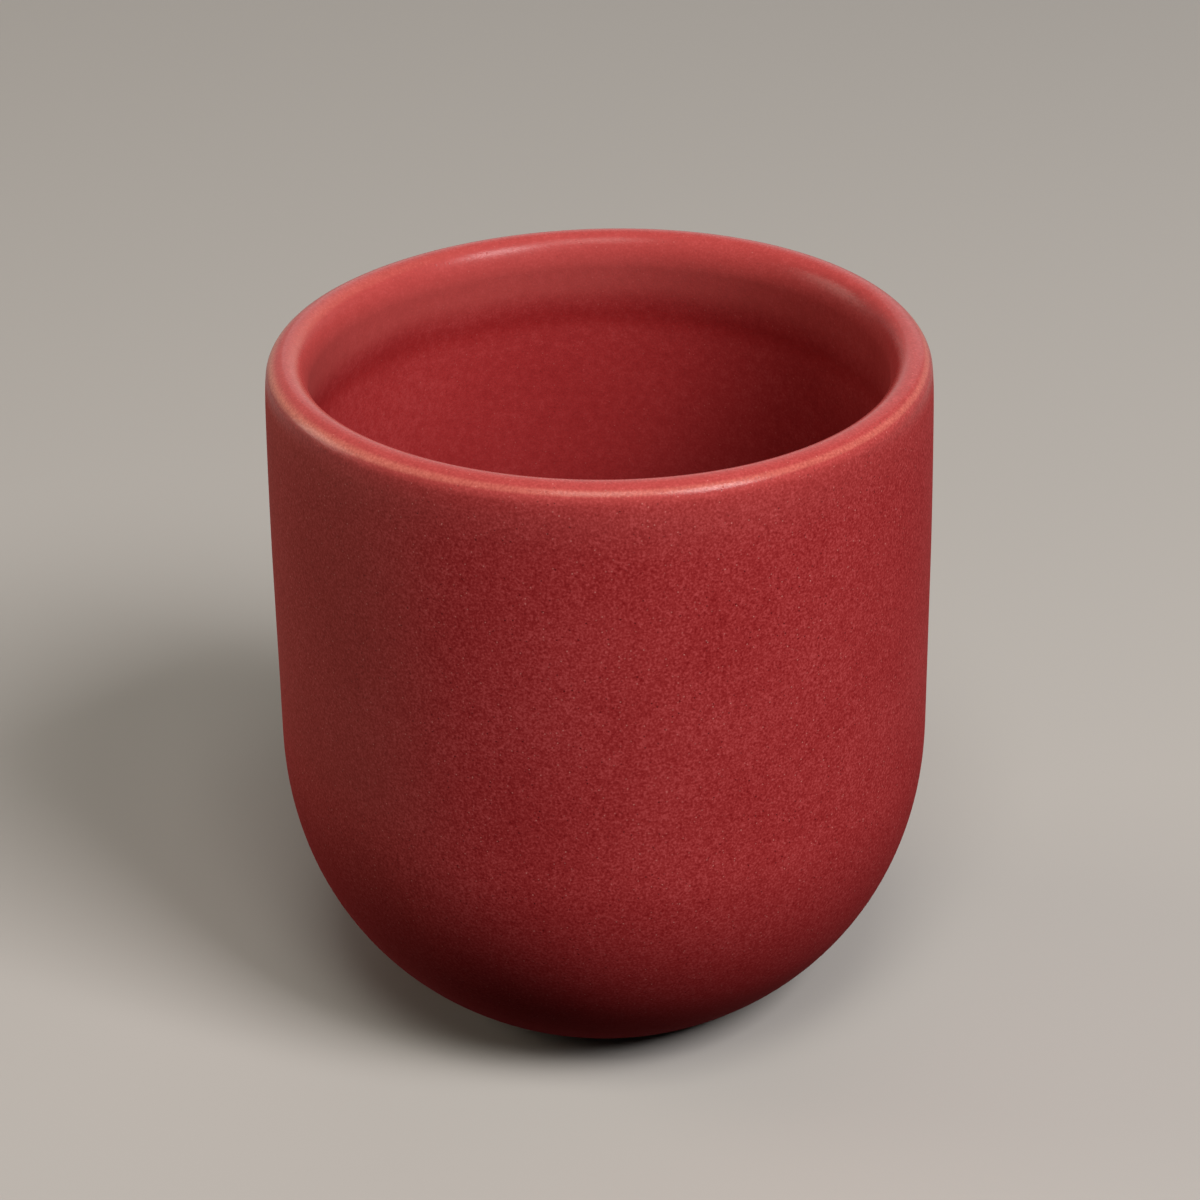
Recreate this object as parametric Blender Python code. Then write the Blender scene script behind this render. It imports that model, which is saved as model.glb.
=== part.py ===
"""A handleless stoneware cup: a turned clay body, the glaze coat over it, and the glaze under its foot.

Blender 4.5, metres, +Z up. The cup stands on the plane z = 0, with its axis on Z and the origin in the
middle of the circle that it stands on. Each piece is one half section, turned once round the axis.
"""

import bmesh
import bpy
from math import asin, atan, cos, hypot, pi, radians, sin, sqrt

for thing in list(bpy.data.objects):
    bpy.data.objects.remove(thing)

MM = 0.001

# Driving dimensions of the finished cup, measured over the glaze
HEIGHT = 85.0 * MM              # table to the top of the lip
WIDEST_RADIUS = 40.0 * MM       # the plumb part of the wall
WALL = 4.5 * MM                 # wall thickness, glaze on both sides included
LIP_DRAW_IN = 0.4 * MM          # how far the outside closes in towards the lip
DRAW_IN_LENGTH = 29.0 * MM      # the stretch of wall below the top that closes in
BOWL_DEPTH = 40.2 * MM          # how far the bowl's curve would drop from its shoulder to the axis
BOWL_SQUARENESS = 2.12          # exponent of the bowl's curve: 2 is an ellipse, more is squarer
FOOT_RADIUS = 19.8 * MM         # the circle in which the bowl's curve meets the table

# The lip: a round top that swells inwards into a soft bead, with a hollow under the bead
LIP_ROUND = 2.4 * MM            # radius of the round from the outside to the top
LIP_REACH = 2.55 * MM           # from the top in to the bead's fullest ring
BEAD_CREST = 4.0 * MM           # depth of that ring below the top
BEAD_LENGTH = 7.6 * MM          # from that ring down to the hollow
BEAD_FADE = 3.0 * MM            # the stretch of wall below the hollow that it fades into
BEAD_SOFTNESS = 0.24            # rounding of the hollow, as a share of the bead's swell

# The foot: a trimmed ring of bare clay round a shallow recess
RING_WIDTH = 3.6 * MM           # flat width that touches the table
RING_EDGE = 0.6 * MM            # width of the worn outer edge of the ring
RECESS_DEPTH = 2.0 * MM         # table to the clay inside the ring
RECESS_SLOPE = 1.6 * MM         # width of the round slope from the ring up into the recess
FLOOR = 3.4 * MM                # thickness of the clay floor
FLOOR_ROUND = 4.0 * MM          # how softly the inner floor turns up into the wall

# The glaze
GLAZE = 0.5 * MM                # thickness of the coat
SEAT = 0.3 * MM                 # gap left between the glaze and the clay, so that the solids don't touch
GLAZE_LINE = 0.9 * MM           # height above the table where the wiped glaze ends
BASE_GLAZE_MARGIN = 1.0 * MM    # wiped margin between the glaze in the recess and its slope

# How finely the round forms are divided
TURN_STEPS = 48
BOWL_STEPS = 9
DRAW_IN_STEPS = 3
LIP_STEPS = 4
BEAD_STEPS = 6
INNER_BOWL_STEPS = 12
EDGE_STEPS = 3
RECESS_STEPS = 4

# Heights and radii that follow from the sizes above
shoulder_z = BOWL_DEPTH * (1 - (FOOT_RADIUS / WIDEST_RADIUS) ** BOWL_SQUARENESS) ** (1 / BOWL_SQUARENESS)
lip_centre_z = HEIGHT - LIP_ROUND
draw_in_z = HEIGHT - DRAW_IN_LENGTH
floor_z = RECESS_DEPTH + FLOOR + SEAT + GLAZE
bead_z = HEIGHT - BEAD_CREST


def spread(first, last, steps):
    """Evenly spaced values from first to last, both included."""
    return [first + (last - first) * i / steps for i in range(steps + 1)]


def outer_radius(z):
    """Outside radius of the wall above the bowl's shoulder: plumb, then closing in towards the lip."""
    share = max(0.0, z - draw_in_z) / (lip_centre_z - draw_in_z)
    return WIDEST_RADIUS - LIP_DRAW_IN * share ** 2


def bowl_point(turn):
    """A point of the bowl's outside: turn is 0 on the axis and a quarter turn at the shoulder."""
    power = 2 / BOWL_SQUARENESS
    return (WIDEST_RADIUS * sin(turn) ** power, shoulder_z - BOWL_DEPTH * cos(turn) ** power)


def bowl_turn(radius):
    """The turn at which the bowl's outside has this radius."""
    return asin((radius / WIDEST_RADIUS) ** (BOWL_SQUARENESS / 2))


def bowl_radius(z):
    """Outside radius of the bowl at a height below its shoulder."""
    drop = ((shoulder_z - z) / BOWL_DEPTH) ** BOWL_SQUARENESS
    return WIDEST_RADIUS * (1 - drop) ** (1 / BOWL_SQUARENESS)


def soft_max(a, b, softness):
    """The larger of two values, rounded over where they are about equal."""
    return (a + b + sqrt((a - b) ** 2 + softness ** 2)) / 2


def bead(z):
    """Extra thickness of the wall below the bead's fullest ring: a flat arch that ends in a soft hollow."""
    share = (bead_z - z) / BEAD_LENGTH
    arch = soft_max(1 - share ** 2, 0.0, BEAD_SOFTNESS) / soft_max(1.0, 0.0, BEAD_SOFTNESS)
    return bead_swell * arch


def inner_radius(z):
    """Inside radius of the wall between the bowl's shoulder and the bead's fullest ring."""
    return outer_radius(z) - WALL - bead(z)


def offset(path, distance):
    """A path that ends on the axis, moved to its left: each point along the bisector of its two edges."""
    before = [(2 * path[0][0] - path[1][0], 2 * path[0][1] - path[1][1])]
    after = [(-path[-2][0], path[-2][1])]
    points = before + path + after
    moved = []
    for (r0, z0), (r1, z1), (r2, z2) in zip(points, points[1:], points[2:]):
        first = hypot(r1 - r0, z1 - z0)
        second = hypot(r2 - r1, z2 - z1)
        left_r = -(z1 - z0) / first - (z2 - z1) / second
        left_z = (r1 - r0) / first + (r2 - r1) / second
        size = hypot(left_r, left_z)
        # size is twice the cosine of half the bend, so the edges keep their distance at each corner
        moved.append((r1 + 2 * distance * left_r / size ** 2, z1 + 2 * distance * left_z / size ** 2))
    return moved


def outside():
    """The outside of the cup, from the glaze line up to the start of the lip's round."""
    lowest = bowl_turn(bowl_radius(GLAZE_LINE))
    bowl = [bowl_point(turn) for turn in spread(lowest, pi / 2, BOWL_STEPS)]
    wall = [(outer_radius(z), z) for z in spread(draw_in_z, lip_start_z, DRAW_IN_STEPS) if z > shoulder_z]
    return bowl + wall


def lip():
    """The lip, from the outside over the top and in to the bead's fullest ring."""
    path = []
    for angle in spread(lip_slope, pi / 2, LIP_STEPS)[1:]:
        path.append((lip_centre_r + LIP_ROUND * cos(angle), lip_centre_z + LIP_ROUND * sin(angle)))
    for angle in spread(0, pi / 2, LIP_STEPS)[1:]:
        path.append((lip_centre_r - LIP_REACH * sin(angle), bead_z + BEAD_CREST * cos(angle)))
    return path


def inside():
    """The inside of the cup, from below the bead's fullest ring down to the middle of the floor."""
    heights = spread(bead_z, bead_z - BEAD_LENGTH - BEAD_FADE, BEAD_STEPS)[1:] + [draw_in_z]
    wall = [(inner_radius(z), z) for z in sorted(heights, reverse=True) if z > shoulder_z]
    # the bowl's inside keeps the wall's thickness until the floor takes over
    bowl = offset([bowl_point(turn) for turn in spread(pi / 2, 0, INNER_BOWL_STEPS)], -WALL)
    bowl[0] = (inner_radius(shoulder_z), shoulder_z)
    return wall + [(r, soft_max(z, floor_z, FLOOR_ROUND)) for r, z in bowl]


def clay_surface(finished):
    """The clay's own surface under the glaze, from the top of the foot ring to the middle of the floor."""
    table_point = bowl_point(bowl_turn(FOOT_RADIUS))
    return offset([table_point] + finished, GLAZE + SEAT)


def ring_inner_radius(clay):
    """Inner radius of the flat face that the cup stands on."""
    return clay[0][0] - RING_EDGE - RING_WIDTH


def material(name, colour, roughness):
    """A plain ceramic finish; colour is an sRGB hex value."""
    channels = [int(colour[i:i + 2], 16) / 255 for i in (1, 3, 5)]
    linear = [c / 12.92 if c <= 0.04045 else ((c + 0.055) / 1.055) ** 2.4 for c in channels]
    made = bpy.data.materials.new(name)
    made.use_nodes = True
    shader = made.node_tree.nodes["Principled BSDF"]
    shader.inputs["Base Color"].default_value = (*linear, 1.0)
    shader.inputs["Roughness"].default_value = roughness
    shader.inputs["Metallic"].default_value = 0.0
    made.diffuse_color = (*linear, 1.0)
    return made


def turned(name, section, finish):
    """One closed body: the half section, whose two ends lie on the axis, spun round it."""
    shape = bmesh.new()
    points = [shape.verts.new((r, 0.0, z)) for r, z in section]
    edges = [shape.edges.new(pair) for pair in zip(points, points[1:])]
    bmesh.ops.spin(shape, geom=points + edges, cent=(0, 0, 0), axis=(0, 0, 1), angle=2 * pi,
                   steps=TURN_STEPS, use_merge=True)
    bmesh.ops.remove_doubles(shape, verts=shape.verts[:], dist=0.001 * MM)
    bmesh.ops.recalc_face_normals(shape, faces=shape.faces[:])
    mesh = bpy.data.meshes.new(name)
    shape.to_mesh(mesh)
    shape.free()
    mesh.materials.append(finish)
    mesh.shade_smooth()
    mesh.set_sharp_from_angle(angle=radians(50))
    piece = bpy.data.objects.new(name, mesh)
    bpy.context.scene.collection.objects.link(piece)
    return piece


def clay_body(clay):
    """The fired clay: its surface under the glaze, closed by the ring and the recess of the foot."""
    edge_r, edge_z = clay[0]
    inner_r = ring_inner_radius(clay)
    # the worn outer edge of the ring is a quarter of an ellipse down to the table
    foot = []
    for angle in spread(0, pi / 2, EDGE_STEPS)[1:]:
        foot.append((edge_r - RING_EDGE * (1 - cos(angle)), edge_z * (1 - sin(angle))))
    # the slope from the ring into the recess is round at both ends
    for share in spread(0, 1, RECESS_STEPS):
        foot.append((inner_r - RECESS_SLOPE * share, RECESS_DEPTH * (1 - cos(pi * share)) / 2))
    foot.append((0.0, RECESS_DEPTH))
    return turned("clay_body", clay[::-1] + foot, material("bare_stoneware", "#c9bba6", 0.85))


def glaze_coat(finished):
    """The coat: one skin from the glaze line up the outside, over the lip and down to the floor's middle."""
    back = offset(finished, GLAZE)
    (front_r, front_z), (back_r, back_z) = finished[0], back[0]
    middle_r = (front_r + back_r) / 2
    middle_z = (front_z + back_z) / 2
    across_r = front_r - middle_r
    across_z = front_z - middle_z
    # where it is wiped the glaze melts into a half round edge, which points down the bowl's slope
    edge = []
    for angle in spread(0, pi, EDGE_STEPS)[1:-1]:
        edge.append((middle_r + across_r * cos(angle) + across_z * sin(angle),
                     middle_z + across_z * cos(angle) - across_r * sin(angle)))
    return turned("glaze_coat", finished[::-1] + edge + back, material("red_satin_glaze", "#a8363b", 0.45))


def base_glaze(clay):
    """The thin disc of glaze in the recess, with its half round edge clear of the slope round it."""
    edge_round = GLAZE / 2
    edge_r = ring_inner_radius(clay) - RECESS_SLOPE - BASE_GLAZE_MARGIN - edge_round
    middle_z = RECESS_DEPTH - SEAT - edge_round
    section = [(0.0, middle_z + edge_round)]
    for angle in spread(0, pi, EDGE_STEPS):
        section.append((edge_r + edge_round * sin(angle), middle_z + edge_round * cos(angle)))
    section.append((0.0, middle_z - edge_round))
    return turned("base_glaze", section, material("red_base_glaze", "#8f2e33", 0.5))


# The lip's round runs on from the slope of the wall, and the bead makes up what the wall lacks under it
lip_slope = atan(2 * LIP_DRAW_IN / (lip_centre_z - draw_in_z))
lip_start_z = lip_centre_z + LIP_ROUND * sin(lip_slope)
lip_centre_r = outer_radius(lip_start_z) - LIP_ROUND * cos(lip_slope)
bead_swell = outer_radius(bead_z) - WALL - (lip_centre_r - LIP_REACH)

# The glazed surface of the cup, from the glaze line outside to the middle of the floor inside
cup_surface = outside() + lip() + inside()
under_glaze = clay_surface(cup_surface)

clay_body(under_glaze)
glaze_coat(cup_surface)
base_glaze(under_glaze)
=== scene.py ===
"""A handleless stoneware cup with a satin red glaze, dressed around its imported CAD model."""

from math import asin, atan, cos, hypot, pi, radians, sin, sqrt

import bmesh
import bpy
from mathutils import Matrix, Vector


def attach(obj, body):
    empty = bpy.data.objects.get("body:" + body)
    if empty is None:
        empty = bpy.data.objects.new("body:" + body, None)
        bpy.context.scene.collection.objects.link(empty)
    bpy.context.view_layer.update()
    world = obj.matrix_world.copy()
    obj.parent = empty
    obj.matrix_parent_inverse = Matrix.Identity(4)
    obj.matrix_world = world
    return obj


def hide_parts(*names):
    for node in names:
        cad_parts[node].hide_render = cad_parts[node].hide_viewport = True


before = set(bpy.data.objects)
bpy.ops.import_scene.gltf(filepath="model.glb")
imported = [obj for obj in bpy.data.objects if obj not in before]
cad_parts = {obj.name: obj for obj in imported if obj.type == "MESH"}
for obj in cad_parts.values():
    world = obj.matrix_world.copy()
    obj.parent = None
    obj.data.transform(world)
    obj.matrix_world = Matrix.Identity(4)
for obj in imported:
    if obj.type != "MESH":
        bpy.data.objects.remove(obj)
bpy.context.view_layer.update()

MM = 0.001

# The camera
# It stands in front of the cup and looks down into it at 28.6 degrees, from 434 mm, through a long lens.
# Its place, roll and aim come from a pinhole camera fitted to the cup's outline in the photograph.
HEIGHT = 85.0 * MM                    # table to the top of the lip, which the camera's aim needs too
IMAGE_SIDE = 1200                     # pixels
FOCAL_PIXELS = 3500                   # focal length in those pixels
CAMERA_DISTANCE = 434.15 * MM
CAMERA_ELEVATION = radians(28.5885)
CAMERA_ROLL = radians(-0.7997)
AIM_PIXEL = (603.196, 660.553)        # where the middle of the cup's axis shows
SENSOR = 36.0

back = Vector((0, -cos(CAMERA_ELEVATION), sin(CAMERA_ELEVATION)))
level = Vector((1, 0, 0))
upward = Vector((0, sin(CAMERA_ELEVATION), cos(CAMERA_ELEVATION)))
rolled_right = cos(CAMERA_ROLL) * level + sin(CAMERA_ROLL) * upward
rolled_up = cos(CAMERA_ROLL) * upward - sin(CAMERA_ROLL) * level
aimed = Matrix((rolled_right, -rolled_up, -back))
pan = atan((AIM_PIXEL[0] - IMAGE_SIDE / 2) / FOCAL_PIXELS)
tilt = atan((AIM_PIXEL[1] - IMAGE_SIDE / 2) / FOCAL_PIXELS)
right, down, forward = (Matrix.Rotation(pan, 3, "Y") @ Matrix.Rotation(-tilt, 3, "X") @ aimed).row
camera = bpy.data.objects.new("camera", bpy.data.cameras.new("camera"))
camera.data.sensor_width = SENSOR
camera.data.lens = SENSOR * FOCAL_PIXELS / IMAGE_SIDE
camera.matrix_world = Matrix((right, -down, -forward)).transposed().to_4x4()
camera.location = Vector((0, 0, HEIGHT / 2)) + back * CAMERA_DISTANCE
bpy.context.scene.collection.objects.link(camera)
bpy.context.scene.camera = camera

# The studio
# A pale paper sweep and four softboxes: the key light high at the front right, a second one high over the camera,
# and two weak ones that fill the shade, a warm one at the left and a broad one behind. The room is dim.
# Only what the camera and the gloss see of the floor and the room is pale: they throw little light back.
PALE = "#bcb9b4"
FLOOR_BOUNCE = "#1a1918"              # what the floor gives back to the cup
ROOM_LIGHT = "#242321"                # what the room gives the cup from all round
PAPER_ROUGHNESS = 0.9
FLOOR_RADIUS = 4.0                    # metres, as the two distances below
SWEEP_STARTS = 0.35                   # from here the floor turns into the room's own tone
SWEEP_ENDS = 1.3
LAMP_DISTANCE = 1.3                   # metres from the middle of the cup
# name, degrees round from the camera to the right, degrees up, metres across, watts, colour
SOFTBOXES = [
    ("key_softbox", 46, 46, 0.48, 14.2, "#fffafa"),
    ("front_softbox", 0, 62, 0.50, 5.9, "#fffcf4"),
    ("left_softbox", -104, 16, 0.60, 5.0, "#ffeedb"),
    ("back_softbox", 172, 30, 1.00, 1.7, "#ffffff"),
]


def linear(colour):
    """An sRGB hex value as the linear colour that sockets and lamps take."""
    channels = [int(colour[i:i + 2], 16) / 255 for i in (1, 3, 5)]
    return [c / 12.92 if c <= 0.04045 else ((c + 0.055) / 1.055) ** 2.4 for c in channels] + [1.0]


def add(tree, kind, inputs=None, **settings):
    """Adds a node with its own settings; inputs holds a value or another node's output for each socket."""
    made = tree.nodes.new(kind)
    for name, value in settings.items():
        setattr(made, name, value)
    for socket, value in (inputs or {}).items():
        if isinstance(value, bpy.types.NodeSocket):
            tree.links.new(value, made.inputs[socket])
        else:
            made.inputs[socket].default_value = value
    return made


def seen(tree):
    """One where the camera, the gloss or clear glass looks, and nothing for the light thrown back."""
    path = add(tree, "ShaderNodeLightPath")
    looks = path.outputs["Is Camera Ray"]
    for ray in ("Is Glossy Ray", "Is Transmission Ray"):
        looks = add(tree, "ShaderNodeMath", {0: looks, 1: path.outputs[ray]}, operation="MAXIMUM").outputs[0]
    return looks


# pale matt paper: no gloss of its own, and an even tone under the soft light
paper = bpy.data.materials.new("pale_paper_sweep")
paper.use_nodes = True
tree = paper.node_tree
shader = tree.nodes["Principled BSDF"]
tone = add(tree, "ShaderNodeMix", {"Factor": seen(tree), "A": linear(FLOOR_BOUNCE), "B": linear(PALE)},
           data_type="RGBA")
tree.links.new(tone.outputs["Result"], shader.inputs["Base Color"])
shader.inputs["Roughness"].default_value = PAPER_ROUGHNESS
shader.inputs["Specular IOR Level"].default_value = 0.0
# far from the cup, where the lamps no longer reach, the sweep runs out evenly into the room's own tone
place = add(tree, "ShaderNodeTexCoord").outputs["Object"]
away = add(tree, "ShaderNodeVectorMath", {0: place}, operation="LENGTH").outputs["Value"]
far = add(tree, "ShaderNodeMapRange", {"Value": away, "From Min": SWEEP_STARTS, "From Max": SWEEP_ENDS},
          interpolation_type="SMOOTHSTEP").outputs[0]
far = add(tree, "ShaderNodeMath", {0: far, 1: seen(tree)}, operation="MULTIPLY").outputs[0]
even = add(tree, "ShaderNodeEmission", {"Color": linear(PALE)}).outputs[0]
sweep = add(tree, "ShaderNodeMixShader", {0: far, 1: shader.outputs[0], 2: even}).outputs[0]
tree.links.new(sweep, tree.nodes["Material Output"].inputs["Surface"])

shape = bmesh.new()
bmesh.ops.create_circle(shape, cap_ends=True, segments=96, radius=FLOOR_RADIUS)
floor_mesh = bpy.data.meshes.new("floor")
shape.to_mesh(floor_mesh)
shape.free()
floor_mesh.materials.append(paper)
floor = bpy.data.objects.new("floor", floor_mesh)
bpy.context.scene.collection.objects.link(floor)

room = bpy.data.worlds.new("room")
room.use_nodes = True
bpy.context.scene.world = room
tree = room.node_tree
tone = add(tree, "ShaderNodeMix", {"Factor": seen(tree), "A": linear(ROOM_LIGHT), "B": linear(PALE)},
           data_type="RGBA")
tree.links.new(tone.outputs["Result"], tree.nodes["Background"].inputs["Color"])

for name, round_from_camera, up, wide, watts, colour in SOFTBOXES:
    lamp = bpy.data.lights.new(name, "AREA")
    lamp.shape = "SQUARE"
    lamp.size = wide
    lamp.energy = watts
    lamp.color = linear(colour)[:3]
    turn, rise = radians(round_from_camera), radians(up)
    towards = Vector((sin(turn) * cos(rise), -cos(turn) * cos(rise), sin(rise)))
    box = bpy.data.objects.new(name, lamp)
    box.location = towards * LAMP_DISTANCE + Vector((0, 0, HEIGHT / 2))
    box.rotation_euler = towards.to_track_quat("Z", "Y").to_euler()
    box.visible_camera = False
    bpy.context.scene.collection.objects.link(box)

bpy.context.scene.view_settings.view_transform = "Standard"

# The glaze coat
# A satin-matt red stoneware glaze, half a millimetre thick: the cup is dipped, so it is one skin inside and out.
# It ends in a rolled edge just above the foot ring, where it is wiped off before the firing.
WIDEST_RADIUS = 40.0 * MM             # the plumb part of the wall
WALL = 4.5 * MM                       # glaze on both sides included
LIP_DRAW_IN = 0.4 * MM                # how far the outside closes in towards the lip
DRAW_IN_LENGTH = 29.0 * MM            # the stretch of wall below the top that closes in
EASE_IN = 0.12 * MM                   # how much more it closes in just under the lip
EASE_LENGTH = 7.0 * MM
BOWL_DEPTH = 40.2 * MM                # how far the bowl's curve would drop from its shoulder to the axis
BOWL_SQUARENESS = 2.12                # exponent of the bowl's curve: 2 is an ellipse, more is squarer
FOOT_RADIUS = 19.8 * MM               # the circle in which the bowl's curve meets the table
LIP_ROUND = 2.4 * MM                  # radius of the round from the outside to the top
LIP_REACH = 2.55 * MM                 # from the top in to the bead's fullest ring
BEAD_CREST = 4.0 * MM                 # depth of that ring below the top
BEAD_LENGTH = 7.6 * MM                # from that ring down to the hollow
BEAD_FADE = 3.0 * MM                  # the stretch of wall below the hollow that it fades into
BEAD_SOFTNESS = 0.24                  # rounding of the hollow, as a share of the bead's swell
FLOOR_HEIGHT = 6.2 * MM               # table to the inside of the floor, before its rounding
FLOOR_ROUND = 4.0 * MM                # how softly the inner floor turns up into the wall
GLAZE = 0.5 * MM
GLAZE_LINE = 0.9 * MM                 # height above the table where the wiped glaze ends
RIM_RISE = 0.283 * MM                 # how far the dried and fired lip rises and falls from level
RIM_RISE_FROM = 0.45 * HEIGHT         # the height from which the wall follows it
RIM_RISE_POWER = 1.5                  # more than 1 keeps most of it near the lip
RIM_TURN = radians(5.6)
HAND_WANDER = 0.10 * MM               # between the farthest in and the farthest out that the wall strays
HAND_SPAN = 26 * MM
EDGE_REACH = 2.4 * MM                 # how much of the glaze follows the wiped line's wander
EDGE_WANDER = 0.9 * MM
WIPES = 4.0                           # how closely the wiped line's bends follow each other
SEED = 3.0
WELD = 0.0005 * MM                    # points nearer than this are one: the seam of the turn and the axis
SHARP_ANGLE = radians(45)
TURN_STEPS = 256
BOWL_STEPS, WALL_STEPS, EASE_STEPS = 44, 20, 12
LIP_STEPS, BEAD_STEPS = 14, 18
HOLLOW_STEPS, INNER_WALL_STEPS, INNER_BOWL_STEPS = 28, 16, 52
EDGE_STEPS = 8

shoulder_z = BOWL_DEPTH * (1 - (FOOT_RADIUS / WIDEST_RADIUS) ** BOWL_SQUARENESS) ** (1 / BOWL_SQUARENESS)
lip_centre_z = HEIGHT - LIP_ROUND
draw_in_z = HEIGHT - DRAW_IN_LENGTH
ease_z = HEIGHT - EASE_LENGTH
bead_z = HEIGHT - BEAD_CREST


def spread(first, last, steps):
    """Evenly spaced values from first to last, both included."""
    return [first + (last - first) * i / steps for i in range(steps + 1)]


def outer_radius(z):
    """Outside radius of the wall above the bowl's shoulder: plumb, then closing in towards the lip."""
    share = max(0.0, z - draw_in_z) / (lip_centre_z - draw_in_z)
    last_share = max(0.0, z - ease_z) / (lip_centre_z - ease_z)
    return WIDEST_RADIUS - LIP_DRAW_IN * share ** 2 - EASE_IN * last_share ** 3


def bowl_point(turn):
    """A point of the bowl's outside: turn is 0 on the axis and a quarter turn at the shoulder."""
    power = 2 / BOWL_SQUARENESS
    return (WIDEST_RADIUS * max(0.0, sin(turn)) ** power, shoulder_z - BOWL_DEPTH * max(0.0, cos(turn)) ** power)


def bowl_turn(radius):
    """The turn at which the bowl's outside has this radius."""
    return asin((radius / WIDEST_RADIUS) ** (BOWL_SQUARENESS / 2))


def soft_max(a, b, softness):
    """The larger of two values, rounded over where they are about equal."""
    return (a + b + sqrt((a - b) ** 2 + softness ** 2)) / 2


def inner_radius(z):
    """Inside radius below the bead's fullest ring: the wall and a flat arch that ends in a soft hollow."""
    share = (bead_z - z) / BEAD_LENGTH
    arch = soft_max(1 - share ** 2, 0.0, BEAD_SOFTNESS) / soft_max(1.0, 0.0, BEAD_SOFTNESS)
    return outer_radius(z) - WALL - bead_swell * arch


def offset(path, distance):
    """A path that ends on the axis, moved to its left: each point along the bisector of its two edges."""
    before = [(2 * path[0][0] - path[1][0], 2 * path[0][1] - path[1][1])]
    after = [(-path[-2][0], path[-2][1])]
    points = before + path + after
    moved = []
    for (r0, z0), (r1, z1), (r2, z2) in zip(points, points[1:], points[2:]):
        first = hypot(r1 - r0, z1 - z0)
        second = hypot(r2 - r1, z2 - z1)
        left_r = -(z1 - z0) / first - (z2 - z1) / second
        left_z = (r1 - r0) / first + (r2 - r1) / second
        size = hypot(left_r, left_z)
        moved.append((r1 + 2 * distance * left_r / size ** 2, z1 + 2 * distance * left_z / size ** 2))
    return moved


# the lip's round runs on from the slope of the wall, and the bead makes up what the wall lacks under it
lip_slope = atan(2 * LIP_DRAW_IN / (lip_centre_z - draw_in_z) + 3 * EASE_IN / (lip_centre_z - ease_z))
lip_start_z = lip_centre_z + LIP_ROUND * sin(lip_slope)
lip_centre_r = outer_radius(lip_start_z) - LIP_ROUND * cos(lip_slope)
bead_swell = outer_radius(bead_z) - WALL - (lip_centre_r - LIP_REACH)
hollow_z = bead_z - BEAD_LENGTH - BEAD_FADE

drop = ((shoulder_z - GLAZE_LINE) / BOWL_DEPTH) ** BOWL_SQUARENESS
lowest_turn = bowl_turn(WIDEST_RADIUS * (1 - drop) ** (1 / BOWL_SQUARENESS))
surface = [bowl_point(turn) for turn in spread(lowest_turn, pi / 2, BOWL_STEPS)]
surface += [(outer_radius(z), z) for z in spread(shoulder_z, ease_z, WALL_STEPS)[1:]]
surface += [(outer_radius(z), z) for z in spread(ease_z, lip_start_z, EASE_STEPS)[1:]]
outside_count = len(surface)
surface += [(lip_centre_r + LIP_ROUND * cos(angle), lip_centre_z + LIP_ROUND * sin(angle))
            for angle in spread(lip_slope, pi / 2, LIP_STEPS)[1:]]
surface += [(lip_centre_r - LIP_REACH * sin(angle), bead_z + BEAD_CREST * cos(angle))
            for angle in spread(0, pi / 2, BEAD_STEPS)[1:]]
lip_count = len(surface) - outside_count
surface += [(inner_radius(z), z) for z in spread(bead_z, hollow_z, HOLLOW_STEPS)[1:]]
surface += [(inner_radius(z), z) for z in spread(hollow_z, shoulder_z, INNER_WALL_STEPS)[1:-1]]
bowl_inside = offset([bowl_point(turn) for turn in spread(pi / 2, 0, INNER_BOWL_STEPS)], -WALL)
bowl_inside[0] = (inner_radius(shoulder_z), shoulder_z)
surface += [(r, soft_max(z, FLOOR_HEIGHT, FLOOR_ROUND)) for r, z in bowl_inside]
inside_count = len(surface) - outside_count - lip_count
# marks for the glaze: how far a point has come round the lip to the inside, and its millimetres below the top
inside_mark = [0.0] * outside_count + spread(0, 1, lip_count - 1) + [1.0] * inside_count
depth_mark = [(HEIGHT - z) / MM for r, z in surface]


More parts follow.
